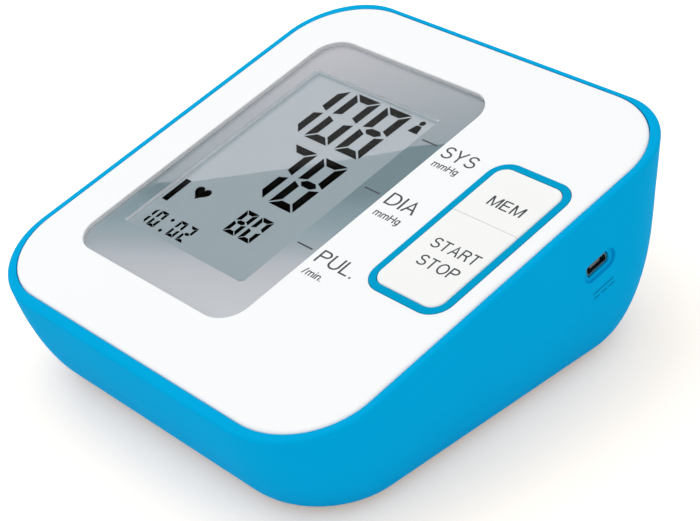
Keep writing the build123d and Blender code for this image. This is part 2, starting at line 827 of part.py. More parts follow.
with BuildPart() as battery_door:
    with BuildSketch(Plane.XY.offset(foot_height)):
        with Locations((0, door_y)):
            RectangleRounded(door_width, door_length, door_r)
    extrude(amount=door_thick)
    for step in range(grip_count):
        y = latch_front - (step + 1) * grip_pitch
        with BuildSketch(Plane.XY.offset(foot_height)):
            with Locations((0, y)):
                SlotOverall(grip_width, 2 * grip_r)
        extrude(amount=grip_deep, mode=Mode.SUBTRACT)
    for x in door_tongues:
        low = shell_floor + fit_gap
        high = low + door_tongue_thick
        left = x - door_tongue_width / 2
        right = x + door_tongue_width / 2
        add(box(left, right, door_front - door_tongue_reach, bay_front, low, high))
        add(box(left, right, door_front + door_gap, bay_front, door_inside, high))
    # sprung latch: a leaf that rises from the door and folds back down to its outer edge
    half = latch_width / 2
    add(box(-half - door_swing_gap, half + door_swing_gap, latch_front + latch_leaf / 2,
            door_back + door_gap, foot_height, door_inside), mode=Mode.SUBTRACT)
    add(box(-half, half, latch_front, latch_front + latch_leaf, foot_height + door_thick / 2, latch_top))
    add(box(-half, half, latch_front, latch_back, latch_top - latch_leaf, latch_top))
    add(box(-half, half, latch_back - latch_leaf, latch_back, foot_height, latch_top))
save("battery_door", battery_door.part)

# ---- air system ---------------------------------------------------------------------------------

with BuildPart() as pump_motor:
    add(rod((head_right, pump_y, pump_z), (motor_right, pump_y, pump_z), motor_r))
    fillet(pump_motor.edges(), head_edge_r)
    add(rod((motor_right, pump_y, pump_z), (motor_right + motor_boss_height, pump_y, pump_z),
            motor_boss_r))
save("pump_motor", pump_motor.part)

with BuildPart() as pump_head:
    add(rod((head_left, pump_y, pump_z), (head_right, pump_y, pump_z), head_r))
    fillet(pump_head.edges(), head_edge_r)
    for step in range(head_band_count):
        x = head_left + (step + 1) * band_pitch - band_pitch / 4
        groove = rod((x, pump_y, pump_z), (x + head_band, pump_y, pump_z), head_r + head_band)
        groove = groove - rod((x, pump_y, pump_z), (x + head_band, pump_y, pump_z), head_r - head_band / 2)
        add(groove, mode=Mode.SUBTRACT)
    add(rod((head_left - nozzle_length, pump_y, pump_z), (head_left, pump_y, pump_z), barb_r))
    add(rod((head_left - nozzle_length, pump_y, pump_z), (head_left + nozzle_length, pump_y, pump_z),
            air_bore_r), mode=Mode.SUBTRACT)
save("pump_head", pump_head.part)

sleeve_left = head_right + slide_gap
with BuildPart() as pump_sleeve:
    ends = [(sleeve_left, pump_y, pump_z), (sleeve_left + sleeve_length, pump_y, pump_z)]
    add(rod(*ends, motor_r + sleeve_thick - slide_gap))
    add(rod(*ends, motor_r + slide_gap), mode=Mode.SUBTRACT)
save("pump_sleeve", pump_sleeve.part)

socket_in_x = -socket_face_x + socket_end
half_block = manifold_size / 2
with BuildPart() as air_manifold:
    add(box(air_x - half_block, air_x + half_block, air_y - half_block, air_y + half_block,
            air_z - half_block, air_z + half_block))
    fillet(air_manifold.edges(), barb_r / 2)
    centre = Vector(air_x, air_y, air_z)
    ports = [(-1, 0, 0), (0, 1, 0), (0, -1, 0), (0, 0, 1)]
    for way in ports:
        add(rod(centre, centre + Vector(*way) * (half_block + barb_length), barb_r))
    for way in ports:
        add(rod(centre, centre + Vector(*way) * (half_block + barb_length), air_bore_r),
            mode=Mode.SUBTRACT)
save("air_manifold", air_manifold.part)

with BuildPart() as cuff_socket:
    face = (-socket_face_x, air_y, air_z)
    flange_back = (-socket_face_x + socket_flange_thick - slide_gap, air_y, air_z)
    inner_end = (socket_in_x, air_y, air_z)
    add(rod(face, flange_back, socket_flange_r))
    add(rod(face, inner_end, socket_r))
    add(rod(inner_end, (socket_in_x + barb_length, air_y, air_z), barb_r))
    add(rod(face, (-socket_face_x + socket_deep, air_y, air_z), socket_bore_r), mode=Mode.SUBTRACT)
    add(rod(face, (socket_in_x + barb_length, air_y, air_z), air_bore_r), mode=Mode.SUBTRACT)
save("cuff_socket", cuff_socket.part)

seal_x = socket_seat_x + wall
with BuildPart() as socket_seal:
    ends = [(seal_x, air_y, air_z), (seal_x + seal_thick, air_y, air_z)]
    add(rod(*ends, socket_flange_r))
    add(rod(*ends, socket_r + slide_gap), mode=Mode.SUBTRACT)
save("socket_seal", socket_seal.part)

tube_gap = fit_gap
save("cuff_tube", pipe([(socket_in_x + tube_gap, air_y, air_z),
                        (air_x - half_block - tube_gap, air_y, air_z)], 0, tube_r, tube_bore_r))
save("pump_tube", pipe([(head_left - tube_gap, pump_y, pump_z), (air_x, pump_y, air_z),
                        (air_x, air_y + half_block + tube_gap, air_z)], elbow_r, tube_r, tube_bore_r))

valve_nozzle_y = valve_back + barb_length
valve_air_z = air_z - valve_tube_drop
bend_y = (valve_nozzle_y + air_y - half_block - barb_length) / 2
save("valve_tube", pipe([(air_x, air_y - half_block - tube_gap, air_z),
                         (air_x, bend_y + valve_tube_drop / 2, air_z),
                         (valve_x, bend_y - valve_tube_drop / 2, valve_air_z),
                         (valve_x, valve_back + tube_gap, valve_air_z)], valve_bend_r, tube_r, tube_bore_r))

with BuildPart() as valve_frame:
    left = valve_x - valve_width / 2
    right = valve_x + valve_width / 2
    low = valve_low
    high = valve_low + valve_width
    add(box(left, right, valve_front, valve_back, low, high))
    add(box(left, right, valve_front + valve_frame_thick, valve_back - valve_frame_thick,
            low + valve_frame_thick, high + valve_frame_thick), mode=Mode.SUBTRACT)
    add(rod((valve_x, valve_back, valve_air_z), (valve_x, valve_nozzle_y, valve_air_z), barb_r))
    add(rod((valve_x, valve_back - valve_frame_thick, valve_air_z), (valve_x, valve_nozzle_y, valve_air_z),
            air_bore_r), mode=Mode.SUBTRACT)
save("valve_frame", valve_frame.part)

coil_front = valve_front + valve_frame_thick + fit_gap
coil_back = valve_back - valve_frame_thick - fit_gap
coil_z = valve_z + valve_frame_thick / 2
coil_r = valve_width / 2 - valve_frame_thick / 2 - coil_gap
with BuildPart() as valve_coil:
    add(rod((valve_x, coil_front, coil_z), (valve_x, coil_back, coil_z), coil_r - valve_frame_thick))
    for y in (coil_front, coil_back - valve_frame_thick):
        add(rod((valve_x, y, coil_z), (valve_x, y + valve_frame_thick, coil_z), coil_r))
save("valve_coil", valve_coil.part)

# The sensor's port is at right angles to the board, so its tube leaves the manifold upright and leans.
manifold_top = air_z + half_block
lean_point = Vector(air_x, air_y, manifold_top + barb_length + lean_run)
sensor_y = top.to_local_coords(lean_point).Y
with BuildPart() as pressure_sensor:
    add(plate(board_bottom, sensor_height, sensor_size, sensor_size, component_r, air_x, sensor_y))
    add(post(air_x, sensor_y, board_bottom, sensor_height + port_length, barb_r))
    add(post(air_x, sensor_y, board_bottom + sensor_height, port_length, air_bore_r), mode=Mode.SUBTRACT)
save("pressure_sensor", pressure_sensor.part)
save("sensor_tube", pipe([(air_x, air_y, manifold_top + tube_gap), lean_point,
                          on_top(air_x, sensor_y, board_bottom + sensor_height + tube_gap)],
                         lean_r, tube_r, tube_bore_r))

# ---- wires --------------------------------------------------------------------------------------


def board_under(x, y):
    """The point on the board's underside straight above x and y."""
    near = top.to_local_coords(Vector(x, y, foot_height + mid_height))
    drop = (board_bottom + near.Z) / cos(slope)
    return Vector(x, y, foot_height + mid_height - drop)


with BuildPart() as battery_wires:
    for x in (cell_x(0), cell_x(cell_count - 1)):
        y = plate_faces[1] + plate_thick / 2
        foot = Vector(x, y, bay_top + tab_rise)
        add(pipe([foot, board_under(x, y) - Vector(0, 0, wire_r)], 0, wire_r))
save("battery_wires", battery_wires.part)

with BuildPart() as pump_wires:
    for y, z in ((pump_y - terminal_reach, pump_z), (pump_y, pump_z + terminal_reach)):
        bend_x = motor_right + wire_run
        add(pipe([(motor_right, y, z), (bend_x, y, z), board_under(bend_x, y) - Vector(0, 0, wire_r)],
                 wire_bend, wire_r))
save("pump_wires", pump_wires.part)

with BuildPart() as valve_wires:
    for y in (coil_front + 2 * wire_bend, coil_back - 2 * wire_bend):
        foot = Vector(valve_x, y, coil_z + coil_r - valve_frame_thick)
        add(pipe([foot, board_under(valve_x, y) - Vector(0, 0, wire_r)], 0, wire_r))
save("valve_wires", valve_wires.part)
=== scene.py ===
"""Upper-arm blood pressure monitor: its finishes, display, labels, light and camera.

Places on the sloped top are given in millimetres as x to the right, y up the slope from the
casing's middle, and depth below the white panel's face.
"""
import math

import bpy
from mathutils import Matrix, Vector


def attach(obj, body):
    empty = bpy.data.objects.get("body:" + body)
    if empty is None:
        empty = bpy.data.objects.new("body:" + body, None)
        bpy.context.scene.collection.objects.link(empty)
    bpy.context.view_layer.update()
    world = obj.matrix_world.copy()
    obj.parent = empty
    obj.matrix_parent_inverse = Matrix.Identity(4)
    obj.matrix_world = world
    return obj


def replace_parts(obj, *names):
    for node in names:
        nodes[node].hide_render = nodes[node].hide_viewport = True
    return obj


MM = 0.001

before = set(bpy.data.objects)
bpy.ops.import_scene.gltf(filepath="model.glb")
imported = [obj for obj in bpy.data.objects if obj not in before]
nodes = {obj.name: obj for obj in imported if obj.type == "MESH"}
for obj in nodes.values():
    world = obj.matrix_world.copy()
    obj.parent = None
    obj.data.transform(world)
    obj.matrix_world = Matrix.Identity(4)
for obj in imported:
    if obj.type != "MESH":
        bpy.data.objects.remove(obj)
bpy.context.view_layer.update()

# ---- sizes --------------------------------------------------------------------------------------

SLOPE = math.radians(11.5)
FACE_HEIGHT = 46.15          # z of the white face where its own x and y are 0
FACE_SHIFT = 0.7             # y of that place
PANEL = Matrix(
    (
        (1, 0, 0, 0),
        (0, math.cos(SLOPE), -math.sin(SLOPE), FACE_SHIFT * MM),
        (0, math.sin(SLOPE), math.cos(SLOPE), FACE_HEIGHT * MM),
        (0, 0, 0, 1),
    )
)

LENS_CENTRE = (-18.32, 1.48)
LENS_SIZE = (66.2, 101.65)
LENS_RADIUS = 8.2
LENS_DROP = 0.1
LENS_THICK = 1.4
LENS_BEVEL = 0.04
RIM_WIDTH = 0.06
RIM_REACH = 0.1              # into the gap between the window and its pocket
PRINT_THICK = 0.05
PRINT_GAP = 0.01
WINDOW_CENTRE = (-20.34, 2.06)
WINDOW_SIZE = (50.1, 74.6)
WINDOW_RADIUS = 0.6
LCD_DEPTH = 2.6
GLYPH_THICK = 0.02
KEY_PROUD = 0.7              # the keys' faces over the panel's
LABEL_PROUD = 0.02

# ---- camera -------------------------------------------------------------------------------------

FOCAL_LENGTH = 100.24
SENSOR_WIDTH = 36.0
CLIP_START = 0.01
EYE = Vector((348.96, -274.32, 307.08)) * MM
LOOK = Vector((-0.65752, 0.52893, -0.53656))
CAMERA_UP = Vector((-0.33935, 0.42792, 0.83769))


def make_camera():
    """The camera, which sees the monitor's top, front and right side."""
    camera = bpy.data.cameras.new("camera")
    camera.lens = FOCAL_LENGTH
    camera.sensor_width = SENSOR_WIDTH
    camera.clip_start = CLIP_START
    back = -LOOK.normalized()
    right = CAMERA_UP.cross(back).normalized()
    up = back.cross(right)
    turn = Matrix((right, up, back)).transposed().to_4x4()
    obj = bpy.data.objects.new("camera", camera)
    obj.matrix_world = Matrix.Translation(EYE) @ turn
    bpy.context.scene.collection.objects.link(obj)
    bpy.context.scene.camera = obj


# ---- shader helpers -----------------------------------------------------------------------------

# The colour sockets of a mix node, which has a set for each type of data.
MIX_A = 6
MIX_B = 7
MIX_RESULT = 2
FINE_RELIEF = 0.004 * MM     # of a mould's spark-eroded face, and of drawn metal


def feed(tree, socket, value):
    """Put a constant or another socket's value on a socket."""
    if isinstance(value, bpy.types.NodeSocket):
        tree.links.new(value, socket)
    else:
        socket.default_value = value


def new_node(tree, kind, settings, inputs):
    """A new node. An input is given a value, a socket, or a list of sockets if it takes several."""
    node = tree.nodes.new(kind)
    for name, value in settings.items():
        setattr(node, name, value)
    for name, value in inputs.items():
        for one in value if isinstance(value, list) else [value]:
            feed(tree, node.inputs[name.replace("_", " ")], one)
    return node


def maths(tree, operation, *values):
    """One number from several, each a value or a socket."""
    node = tree.nodes.new("ShaderNodeMath")
    node.operation = operation
    for socket, value in zip(node.inputs, values):
        feed(tree, socket, value)
    return node.outputs[0]


class Finish:
    """A material with one Principled shader, and the nodes that vary it over the surface."""

    def __init__(self, name, colour, roughness, specular=0.5, metallic=0.0):
        self.material = bpy.data.materials.new(name)
        self.material.use_nodes = True
        self.tree = self.material.node_tree
        self.shader = self.tree.nodes["Principled BSDF"]
        self.set("Base Color", (*colour, 1))
        self.set("Roughness", roughness)
        self.set("Specular IOR Level", specular)
        self.set("Metallic", metallic)

    def set(self, socket, value):
        """Put a constant on the shader's own socket."""
        self.shader.inputs[socket].default_value = value

    def node(self, kind, settings=None, **inputs):
        """The outputs of a new node with these settings, and these inputs set or linked."""
        return new_node(self.tree, kind, settings or {}, inputs).outputs

    def link(self, output, socket):
        """Drive one of the shader's sockets."""
        self.tree.links.new(output, self.shader.inputs[socket])

    def maths(self, operation, *values):
        """One number from several."""
        return maths(self.tree, operation, *values)

    def coordinates(self):
        """Object coordinates, in metres."""
        return self.node("ShaderNodeTexCoord")["Object"]

    def place(self, scale=(1, 1, 1)):
        """Object coordinates, scaled."""
        return self.node("ShaderNodeMapping", Vector=self.coordinates(), Scale=scale)["Vector"]

    def noise(self, scale, detail, vector=None):
        """Noise of this many waves per metre."""
        return self.node("ShaderNodeTexNoise", Vector=vector or self.place(), Scale=scale,
                         Detail=detail)["Fac"]

    def span(self, value, low, high, start=0.0, end=1.0):
        """value, carried from start..end to low..high."""
        return self.node("ShaderNodeMapRange", Value=value, From_Min=start, From_Max=end,
                         To_Min=low, To_Max=high)["Result"]

    def ramp(self, value, stops):
        """A colour ramp through these (place, colour) stops."""
        node = new_node(self.tree, "ShaderNodeValToRGB", {}, {"Fac": value})
        elements = node.color_ramp.elements
        while len(elements) < len(stops):
            elements.new(0.5)
        for element, (place, colour) in zip(elements, stops):
            element.position = place
            element.color = (*colour, 1)
        return node.outputs["Color"]

    def cover(self, value, *stops):
        """Base colour that follows value through these (place, colour) stops."""
        self.link(self.ramp(value, stops), "Base Color")

    def gloss(self, value, low, high):
        """Roughness that follows value."""
        self.link(self.span(value, low, high), "Roughness")

    def bump(self, height, distance, strength=1.0):
        """Relief of this depth in metres."""
        self.link(self.node("ShaderNodeBump", Height=height, Distance=distance,
                            Strength=strength)["Normal"], "Normal")


def linear(red, green, blue):
    """Linear colour from 0..255 sRGB."""
    def one(value):
        value /= 255
        return value / 12.92 if value <= 0.04045 else ((value + 0.055) / 1.055) ** 2.4
    return one(red), one(green), one(blue)


def times(colour, factor):
    """A brighter or darker colour, no channel over 1."""
    return [min(1, value * factor) for value in colour]


def moulded(name, colour, roughness, specular=0.5, grain=6000, relief=FINE_RELIEF, mottle=0.03):
    """Moulded plastic: a fine spark-eroded grain, uneven gloss and a faint colour drift."""
    finish = Finish(name, colour, roughness, specular)
    finish.cover(finish.noise(scale=28, detail=2),
                 (0.3, times(colour, 1 - mottle)), (0.7, times(colour, 1 + mottle)))
    finish.gloss(finish.noise(scale=900, detail=4), roughness - 0.05, roughness + 0.05)
    finish.bump(finish.noise(grain, detail=2), relief)
    return finish.material


def metal(name, colour, roughness, stretch=(1, 1, 1)):
    """Plated or drawn metal, with fine marks along its draw direction."""
    finish = Finish(name, colour, roughness, metallic=1.0)
    marks = finish.noise(scale=2500, detail=5, vector=finish.place(stretch))
    finish.gloss(marks, roughness - 0.08, roughness + 0.12)
    finish.cover(finish.noise(scale=160, detail=4), (0.3, times(colour, 0.88)), (0.7, colour))
    finish.bump(marks, FINE_RELIEF)
    return finish.material


# ---- finishes -----------------------------------------------------------------------------------

SHELL_BLUE = linear(0, 167, 221)
BEZEL_BLUE = linear(0, 157, 204)
PANEL_WHITE = linear(246, 247, 248)
KEY_WHITE = linear(244, 245, 243)
INK = linear(64, 69, 74)
GLYPH = linear(10, 9, 8)
LCD_GREY = linear(151, 164, 170)
GASKET = linear(230, 236, 240)
RIM_WHITE = linear(240, 242, 244)
# Painted shade: the moulded mark is the casing's blue, drawn darker.
MARK_PAINTED_SHADE = linear(0, 125, 170)
WINDOW_IOR = 1.03            # a true one makes noisy edges; the mirrors behind do the shining
MIRROR_IOR = 2.05            # of those mirrors, the silver ink and the display's foil
MIRROR_ROUGHNESS = (0.004, 0.008)
MIRROR_TINT = (1.0, 0.82, 0.86, 1.0)
MIRROR_LOSS = 1.27           # their colour makes up for what that shine takes
PRINT_LEAN = 0.49            # the painted reflection's fade runs askew: this much of x is taken from y
PRINT_CORNER = (26.0, 94.0)  # y less x, over which a painted highlight brightens the ink to the top left
# Painted reflection: the ink's grey is paler at the bottom, darker above and paler towards the top
# left.
PRINT_PAINTED_HIGHLIGHT = linear(162, 166, 172)
PRINT_REFLECTION_FADE = [
    (-50.0, (195, 198, 203)),
    (-38.3, (189, 192, 197)),
    (-32.4, (185, 188, 193)),
    (-26.5, (177, 182, 189)),
    (-20.6, (158, 168, 174)),
    (-15.7, (148, 163, 170)),
    (-9.8, (137, 154, 161)),
    (-3.0, (128, 147, 154)),
    (2.9, (117, 136, 142)),
]


def casing_blue(name, colour):
    """Saturated blue ABS with a soft satin face."""
    return moulded(name, colour, 0.5, specular=0.006, mottle=0.015)


def white_abs(name, colour, roughness=0.42):
    """White ABS."""
    return moulded(name, colour, roughness, specular=0.3, mottle=0.006)


def mirror(name, colour):
    """What shines like a mirror behind the window."""
    finish = Finish(name, colour, MIRROR_ROUGHNESS[1])
    finish.set("IOR", MIRROR_IOR)
    finish.set("Specular Tint", MIRROR_TINT)
    return finish


def silver_print_and_painted_reflection():
    """Silver ink on the window's back. Its grey is the ink's own; its fade from pale at the bottom
    to dark above, and its paler top left, are a painted reflection.
    """
    finish = mirror("silver_print_and_painted_reflection", LCD_GREY)
    along = finish.node("ShaderNodeSeparateXYZ", Vector=finish.coordinates())
    rise = finish.maths("MULTIPLY_ADD", along["X"], -PRINT_LEAN, along["Y"])
    low, high = PRINT_REFLECTION_FADE[0][0], PRINT_REFLECTION_FADE[-1][0]
    fade = finish.span(rise, 0, 1, low * MM, high * MM)
    stops = [((place - low) / (high - low), times(linear(*colour), MIRROR_LOSS))
             for place, colour in PRINT_REFLECTION_FADE]
    corner = finish.maths("SUBTRACT", along["Y"], along["X"])
    share = finish.span(corner, 0, 1, PRINT_CORNER[0] * MM, PRINT_CORNER[1] * MM)
    # Painted highlight: how much the top left takes of the paler colour.
    highlight_mix = new_node(finish.tree, "ShaderNodeMix", {"data_type": "RGBA"}, {"Factor": share})
    feed(finish.tree, highlight_mix.inputs[MIX_A], finish.ramp(fade, stops))
    feed(finish.tree, highlight_mix.inputs[MIX_B], (*times(PRINT_PAINTED_HIGHLIGHT, MIRROR_LOSS), 1))
    finish.link(highlight_mix.outputs[MIX_RESULT], "Base Color")
    finish.gloss(finish.noise(scale=4000, detail=3), *MIRROR_ROUGHNESS)
    return finish.material


def display_grey():
    """The display's reflective back, seen through its cell: even grey with a faint foil grain."""
    grey = times(LCD_GREY, MIRROR_LOSS)
    finish = mirror("display_grey", grey)
    finish.gloss(finish.noise(scale=7000, detail=3), *MIRROR_ROUGHNESS)
    finish.cover(finish.noise(scale=9000, detail=2), (0.35, times(grey, 0.985)), (0.65, grey))
    return finish.material


def clear_window():
    """Clear coated polycarbonate."""
    finish = Finish("clear_window", (1, 1, 1), 0.005, specular=0.1)
    finish.set("Transmission Weight", 1.0)
    finish.set("IOR", WINDOW_IOR)
    finish.gloss(finish.noise(scale=600, detail=3), 0.002, 0.008)
    return finish.material


def ink(name, colour, roughness=0.5, specular=0.2):
    """Printed ink with slightly uneven cover."""
    finish = Finish(name, colour, roughness, specular)
    finish.cover(finish.noise(scale=5000, detail=3), (0.35, colour), (0.75, times(colour, 1.1)))
    return finish.material


def board_green():
    """Green solder mask over copper tracks."""
    mask = (0.012, 0.16, 0.05)
    finish = Finish("board_green", mask, 0.3)
    tracks = finish.node("ShaderNodeTexBrick", Vector=finish.place(), Scale=260.0,
                         Mortar_Size=0.06, Mortar=(0.03, 0.26, 0.09, 1),
                         Color1=(0.010, 0.13, 0.04, 1), Color2=(*mask, 1))
    finish.link(tracks["Color"], "Base Color")
    finish.bump(tracks["Fac"], 0.03 * MM, strength=0.4)
    return finish.material


def bands(finish, scale):
    """Bands across y, this many per metre or so."""
    return finish.node("ShaderNodeTexWave", {"bands_direction": "Y"}, Vector=finish.place(),
                       Scale=scale)["Fac"]


def cell_jacket():
    """Battery jacket: plain dark film with a pale band round the plus half."""
    film = (0.03, 0.035, 0.04)
    finish = Finish("cell_jacket", film, 0.25)
    finish.cover(bands(finish, 9.0), (0.55, film), (0.6, (0.42, 0.43, 0.44)))
    finish.gloss(finish.noise(scale=800, detail=3), 0.2, 0.32)
    return finish.material


def silicone(name, colour):
    """Milky silicone rubber."""
    finish = Finish(name, colour, 0.45)
    finish.set("Subsurface Weight", 0.3)
    finish.set("Subsurface Radius", (0.002, 0.002, 0.002))
    finish.gloss(finish.noise(scale=1500, detail=3), 0.38, 0.52)
    finish.bump(finish.noise(scale=2600, detail=2), 0.01 * MM)
    return finish.material


def zebra_layers():
    """Fine dark and pale layers of a contact strip."""
    finish = Finish("zebra_layers", (0.05, 0.05, 0.05), 0.6)
    finish.cover(bands(finish, 900.0), (0.45, (0.03, 0.03, 0.03)), (0.55, (0.45, 0.44, 0.4)))
    return finish.material


def dress_nodes():
    """Give every CAD node the finish of what it is made of."""
    blue = casing_blue("casing_blue", SHELL_BLUE)
    steel = metal("zinc_plate", (0.62, 0.62, 0.6), 0.3)
    nickel = metal("nickel_plate", (0.72, 0.70, 0.66), 0.22)
    black = moulded("black_nylon", (0.02, 0.02, 0.022), 0.45)
    natural = moulded("natural_nylon", (0.72, 0.71, 0.66), 0.4)
    rubber = moulded("black_rubber", (0.025, 0.025, 0.027), 0.75, specular=0.25, grain=2600,
                     relief=0.02 * MM)
    foam = moulded("gasket_foam", GASKET, 0.8, specular=0.2, grain=1800, relief=0.05 * MM)
    leads = moulded("red_insulation", (0.45, 0.02, 0.015), 0.4)
    inlet = metal("inlet_plate", (0.12, 0.19, 0.22), 0.4)
    tube = silicone("milky_silicone", (0.75, 0.75, 0.70))
    keys = white_abs("key_white", KEY_WHITE, 0.38)
    finishes = {
        blue: ("lower_shell", "battery_door"),
        casing_blue("bezel_blue", BEZEL_BLUE): ("key_bezel",),
        white_abs("panel_white", PANEL_WHITE): ("top_panel",),
        keys: ("mem_key", "start_stop_key"),
        display_grey(): ("lcd_glass",),
        foam: ("lcd_gasket",),
        natural: ("lcd_holder", "air_manifold"),
        zebra_layers(): ("zebra_strips",),
        board_green(): ("main_board",),
        steel: ("board_screws", "case_screws", "pump_motor", "valve_frame"),
        nickel: ("battery_springs", "contact_plates", "chip_leads"),
        inlet: ("usb_shell",),
        black: ("mem_plunger", "start_stop_plunger", "controller_chip", "buzzer", "key_switches",
                "pump_head", "pressure_sensor"),
        metal("capacitor_can", (0.6, 0.61, 0.63), 0.35): ("capacitors",),
        metal("enamelled_copper", (0.75, 0.3, 0.12), 0.3, stretch=(1, 12, 1)): ("valve_coil",),
        moulded("socket_grey", (0.12, 0.125, 0.13), 0.45): ("cuff_socket", "usb_tongue"),
        cell_jacket(): ("aa_cells",),
        rubber: ("feet", "pump_sleeve", "socket_seal"),
        tube: ("cuff_tube", "pump_tube", "valve_tube", "sensor_tube"),
        leads: ("battery_wires", "pump_wires", "valve_wires"),
    }
    for material, names in finishes.items():
        for name in names:
            for material_slot in nodes[name].material_slots:
                material_slot.material = material


# ---- flat pieces on the sloped top --------------------------------------------------------------


def rounded_rectangle(centre, size, radius, steps=12):
    """The outline of a rectangle with round corners."""
    half_x = size[0] / 2 - radius
    half_y = size[1] / 2 - radius
    points = []
    for quarter, (side_x, side_y) in enumerate(((1, 1), (-1, 1), (-1, -1), (1, -1))):
        for step in range(steps + 1):
            angle = (quarter + step / steps) * math.pi / 2
            points.append((centre[0] + side_x * half_x + radius * math.cos(angle),
                           centre[1] + side_y * half_y + radius * math.sin(angle)))
    return points


def circle(centre, radius, steps=32):
    """The outline of a circle."""
    return [(centre[0] + radius * math.cos(2 * math.pi * step / steps),
             centre[1] + radius * math.sin(2 * math.pi * step / steps)) for step in range(steps)]


def sheet_curve(outlines, thick, bevel=0.0):
    """A flat filled curve, in millimetres; an outline inside another is a hole."""
    curve = bpy.data.curves.new("outline", "CURVE")
    curve.dimensions = "2D"
    curve.fill_mode = "BOTH"
    curve.extrude = thick / 2 - bevel
    curve.bevel_depth = bevel
    curve.bevel_resolution = 2
    curve.offset = -bevel
    for outline in outlines:
        spline = curve.splines.new("POLY")
        spline.points.add(len(outline) - 1)
        for point, (x, y) in zip(spline.points, outline):
            point.co = (x, y, 0, 1)
        spline.use_cyclic_u = True
    return curve


def as_mesh(data, name):
    """The mesh of a curve or text, alone."""
    source = bpy.data.objects.new("source", data)
    bpy.context.scene.collection.objects.link(source)
    evaluated = source.evaluated_get(bpy.context.evaluated_depsgraph_get())
    mesh = bpy.data.meshes.new_from_object(evaluated)
    bpy.data.objects.remove(source)
    mesh.name = name
    return mesh


def add_piece(name, mesh, material, body):
    """Put a finished mesh in the scene and tie it to its body and slot."""
    obj = bpy.data.objects.new(name, mesh)
    bpy.context.scene.collection.objects.link(obj)
    mesh.materials.clear()
    mesh.materials.append(material)
    for polygon in mesh.polygons:
        polygon.material_index = 0
        polygon.use_smooth = False
    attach(obj, body)
    return obj


def on_top(depth):
    """From millimetres on the panel, this far below its face, to the frame."""
    return PANEL @ Matrix.Scale(MM, 4) @ Matrix.Translation((0, 0, -depth))


def top_sheet(name, outlines, depth, thick, material, body, bevel=0.0):
    """A flat piece on the panel with its upper face at depth."""
    mesh = as_mesh(sheet_curve(outlines, thick, bevel), name)
    mesh.transform(on_top(depth + thick / 2))
    return add_piece(name, mesh, material, body)


# ---- display ------------------------------------------------------------------------------------

SEGMENTS = {
    "0": "abcdef",
    "1": "bc",
    "2": "abged",
    "7": "abc",
    "8": "abcdefg",
}


def segment_digit(value, left, bottom, width, height, upright, bar, gap, lean):
    """The lit segments of one leaning seven-segment digit, as outlines."""
    middle = height / 2
    half_bar = bar / 2
    right = [(width, height - gap), (width, middle + 1.2 * gap),
             (width - upright, middle + half_bar + gap), (width - upright, height - bar - gap)]
    top = [(gap, height), (width - gap, height), (width - upright - gap, height - bar),
           (upright + gap, height - bar)]
    tip = upright / 2 + gap
    inside = upright + gap
    centre = [(tip, middle), (inside, middle + half_bar), (width - inside, middle + half_bar),
              (width - tip, middle), (width - inside, middle - half_bar),
              (inside, middle - half_bar)]

    def flip(points, over_x, over_y):
        return [(width - x if over_x else x, height - y if over_y else y) for x, y in points]

    shapes = {
        "a": top, "b": right, "c": flip(right, False, True), "d": flip(top, False, True),
        "e": flip(right, True, True), "f": flip(right, True, False), "g": centre,
    }
    return [[(left + x + lean * y / height, bottom + y) for x, y in shapes[key]]
            for key in SEGMENTS[value]]


def segment_number(text, left, bottom, pitch, **sizes):
    """A row of digits, evenly spaced from left; a space leaves its place free."""
    outlines = []
    for place, value in enumerate(text):
        if value != " ":
            outlines += segment_digit(value, left + place * pitch, bottom, **sizes)
    return outlines


def heart(left, bottom, width, height, steps=40):
    """A heart outline that fits this box; its curve is 32 wide and 29 high, 17 of that below 0."""
    points = []
    for step in range(steps):
        angle = 2 * math.pi * step / steps
        x = 16 * math.sin(angle) ** 3
        y = sum(share * math.cos(turns * angle)
                for turns, share in ((1, 13), (2, -5), (3, -2), (4, -1)))
        points.append((left + width * (x / 32 + 0.5), bottom + height * (y + 17) / 29))
    return points


LARGE = dict(width=9.8, height=21.4, upright=2.85, bar=2.5, gap=0.42, lean=0.65)
MEDIUM = dict(width=4.85, height=9.55, upright=1.45, bar=1.4, gap=0.18, lean=0.3)
SMALL = dict(width=3.1, height=6.35, upright=0.95, bar=0.95, gap=0.1, lean=0.2)
# Each number: its digits, its left end, its bottom, the pitch and the digits' sizes.
NUMBERS = [
    ("108", -39.95, 16.45, 12.45, LARGE),
    (" 78", -39.95, -8.65, 12.45, LARGE),
    ("80", -17.65, -23.2, 6.1, MEDIUM),
    ("10", -43.85, -32.7, 4.15, SMALL),
    ("02", -31.2, -32.7, 4.25, SMALL),
]
COLON = [(-33.65, -27.7), (-33.65, -32.35)]
COLON_RADIUS = 0.6
LEVEL_BAR = [(-44.2, -23.05), (-41.9, -23.05), (-41.9, -13.65), (-44.2, -13.65)]
HEART = (-38.05, -18.55, 5.9, 5.0)
PERSON_HEAD = (0.1, 36.9)
PERSON_HEAD_RADIUS = 0.95
PERSON_BODY = [(-1.65, 32.6), (1.85, 32.6), (1.35, 34.9), (0.85, 35.7), (-0.65, 35.7),
               (-1.15, 34.9)]


def display_glyphs():
    """Everything that the display shows."""
    outlines = []
    for text, left, bottom, pitch, sizes in NUMBERS:
        outlines += segment_number(text, left, bottom, pitch, **sizes)
    outlines += [circle(place, COLON_RADIUS) for place in COLON]
    outlines += [LEVEL_BAR, heart(*HEART), circle(PERSON_HEAD, PERSON_HEAD_RADIUS), PERSON_BODY]
    return outlines


TICK_SPAN = (6.2, 12.0)      # the three marks between the display and the words
TICK_PLACES = (30.85, 8.55, -16.4)
TICK_HALF = 0.25


def lens_outline(grow):
    """The window's outline, grown by this much."""
    return rounded_rectangle(LENS_CENTRE, [side + 2 * grow for side in LENS_SIZE],
                             LENS_RADIUS + grow)


